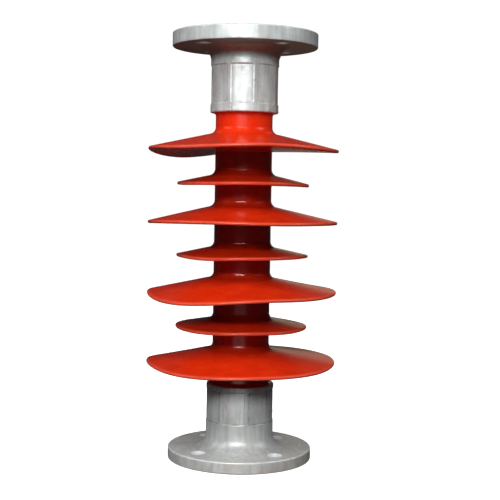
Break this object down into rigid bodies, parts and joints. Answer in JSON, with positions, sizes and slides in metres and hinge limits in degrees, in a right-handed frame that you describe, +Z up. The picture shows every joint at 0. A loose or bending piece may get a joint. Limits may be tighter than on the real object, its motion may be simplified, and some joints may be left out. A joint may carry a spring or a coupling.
{
  "type": "composite station post insulator",
  "caption": "Rigid polymer post insulator: core rod with a red silicone housing of large and small sheds between two crimped, bolt-on steel flange fittings.",
  "frame": {"origin": "centre of the bottom mounting face", "axes": "+Z up the axis towards the top mounting face; +X and +Y pass midway between bolt holes"},
  "size_m": [0.227, 0.227, 0.508],
  "materials": {
    "galvanised_steel": "satin",
    "silicone": "satin",
    "fibreglass": "satin",
    "mouth_sealant": "satin",
    "o_ring_rubber": "matte",
    "cap_sealant": "satin",
    "cap_steel": "satin"
  },
  "bodies": {
    "root": {"core_rod": "fibreglass", "sheath": "silicone", "large_shed_1": "silicone", "large_shed_2": "silicone", "large_shed_3": "silicone", "large_shed_4": "silicone", "small_shed_1": "silicone", "small_shed_2": "silicone", "small_shed_3": "silicone", "bottom_end_fitting": "galvanised_steel", "top_end_fitting": "galvanised_steel", "bottom_mouth_o_ring": "o_ring_rubber", "top_mouth_o_ring": "o_ring_rubber", "bottom_mouth_sealant": "mouth_sealant", "top_mouth_sealant": "mouth_sealant", "bottom_cap_sealant": "cap_sealant", "top_cap_sealant": "cap_sealant", "bottom_end_cap": "cap_steel", "top_end_cap": "cap_steel"}
  },
  "joints": []
}
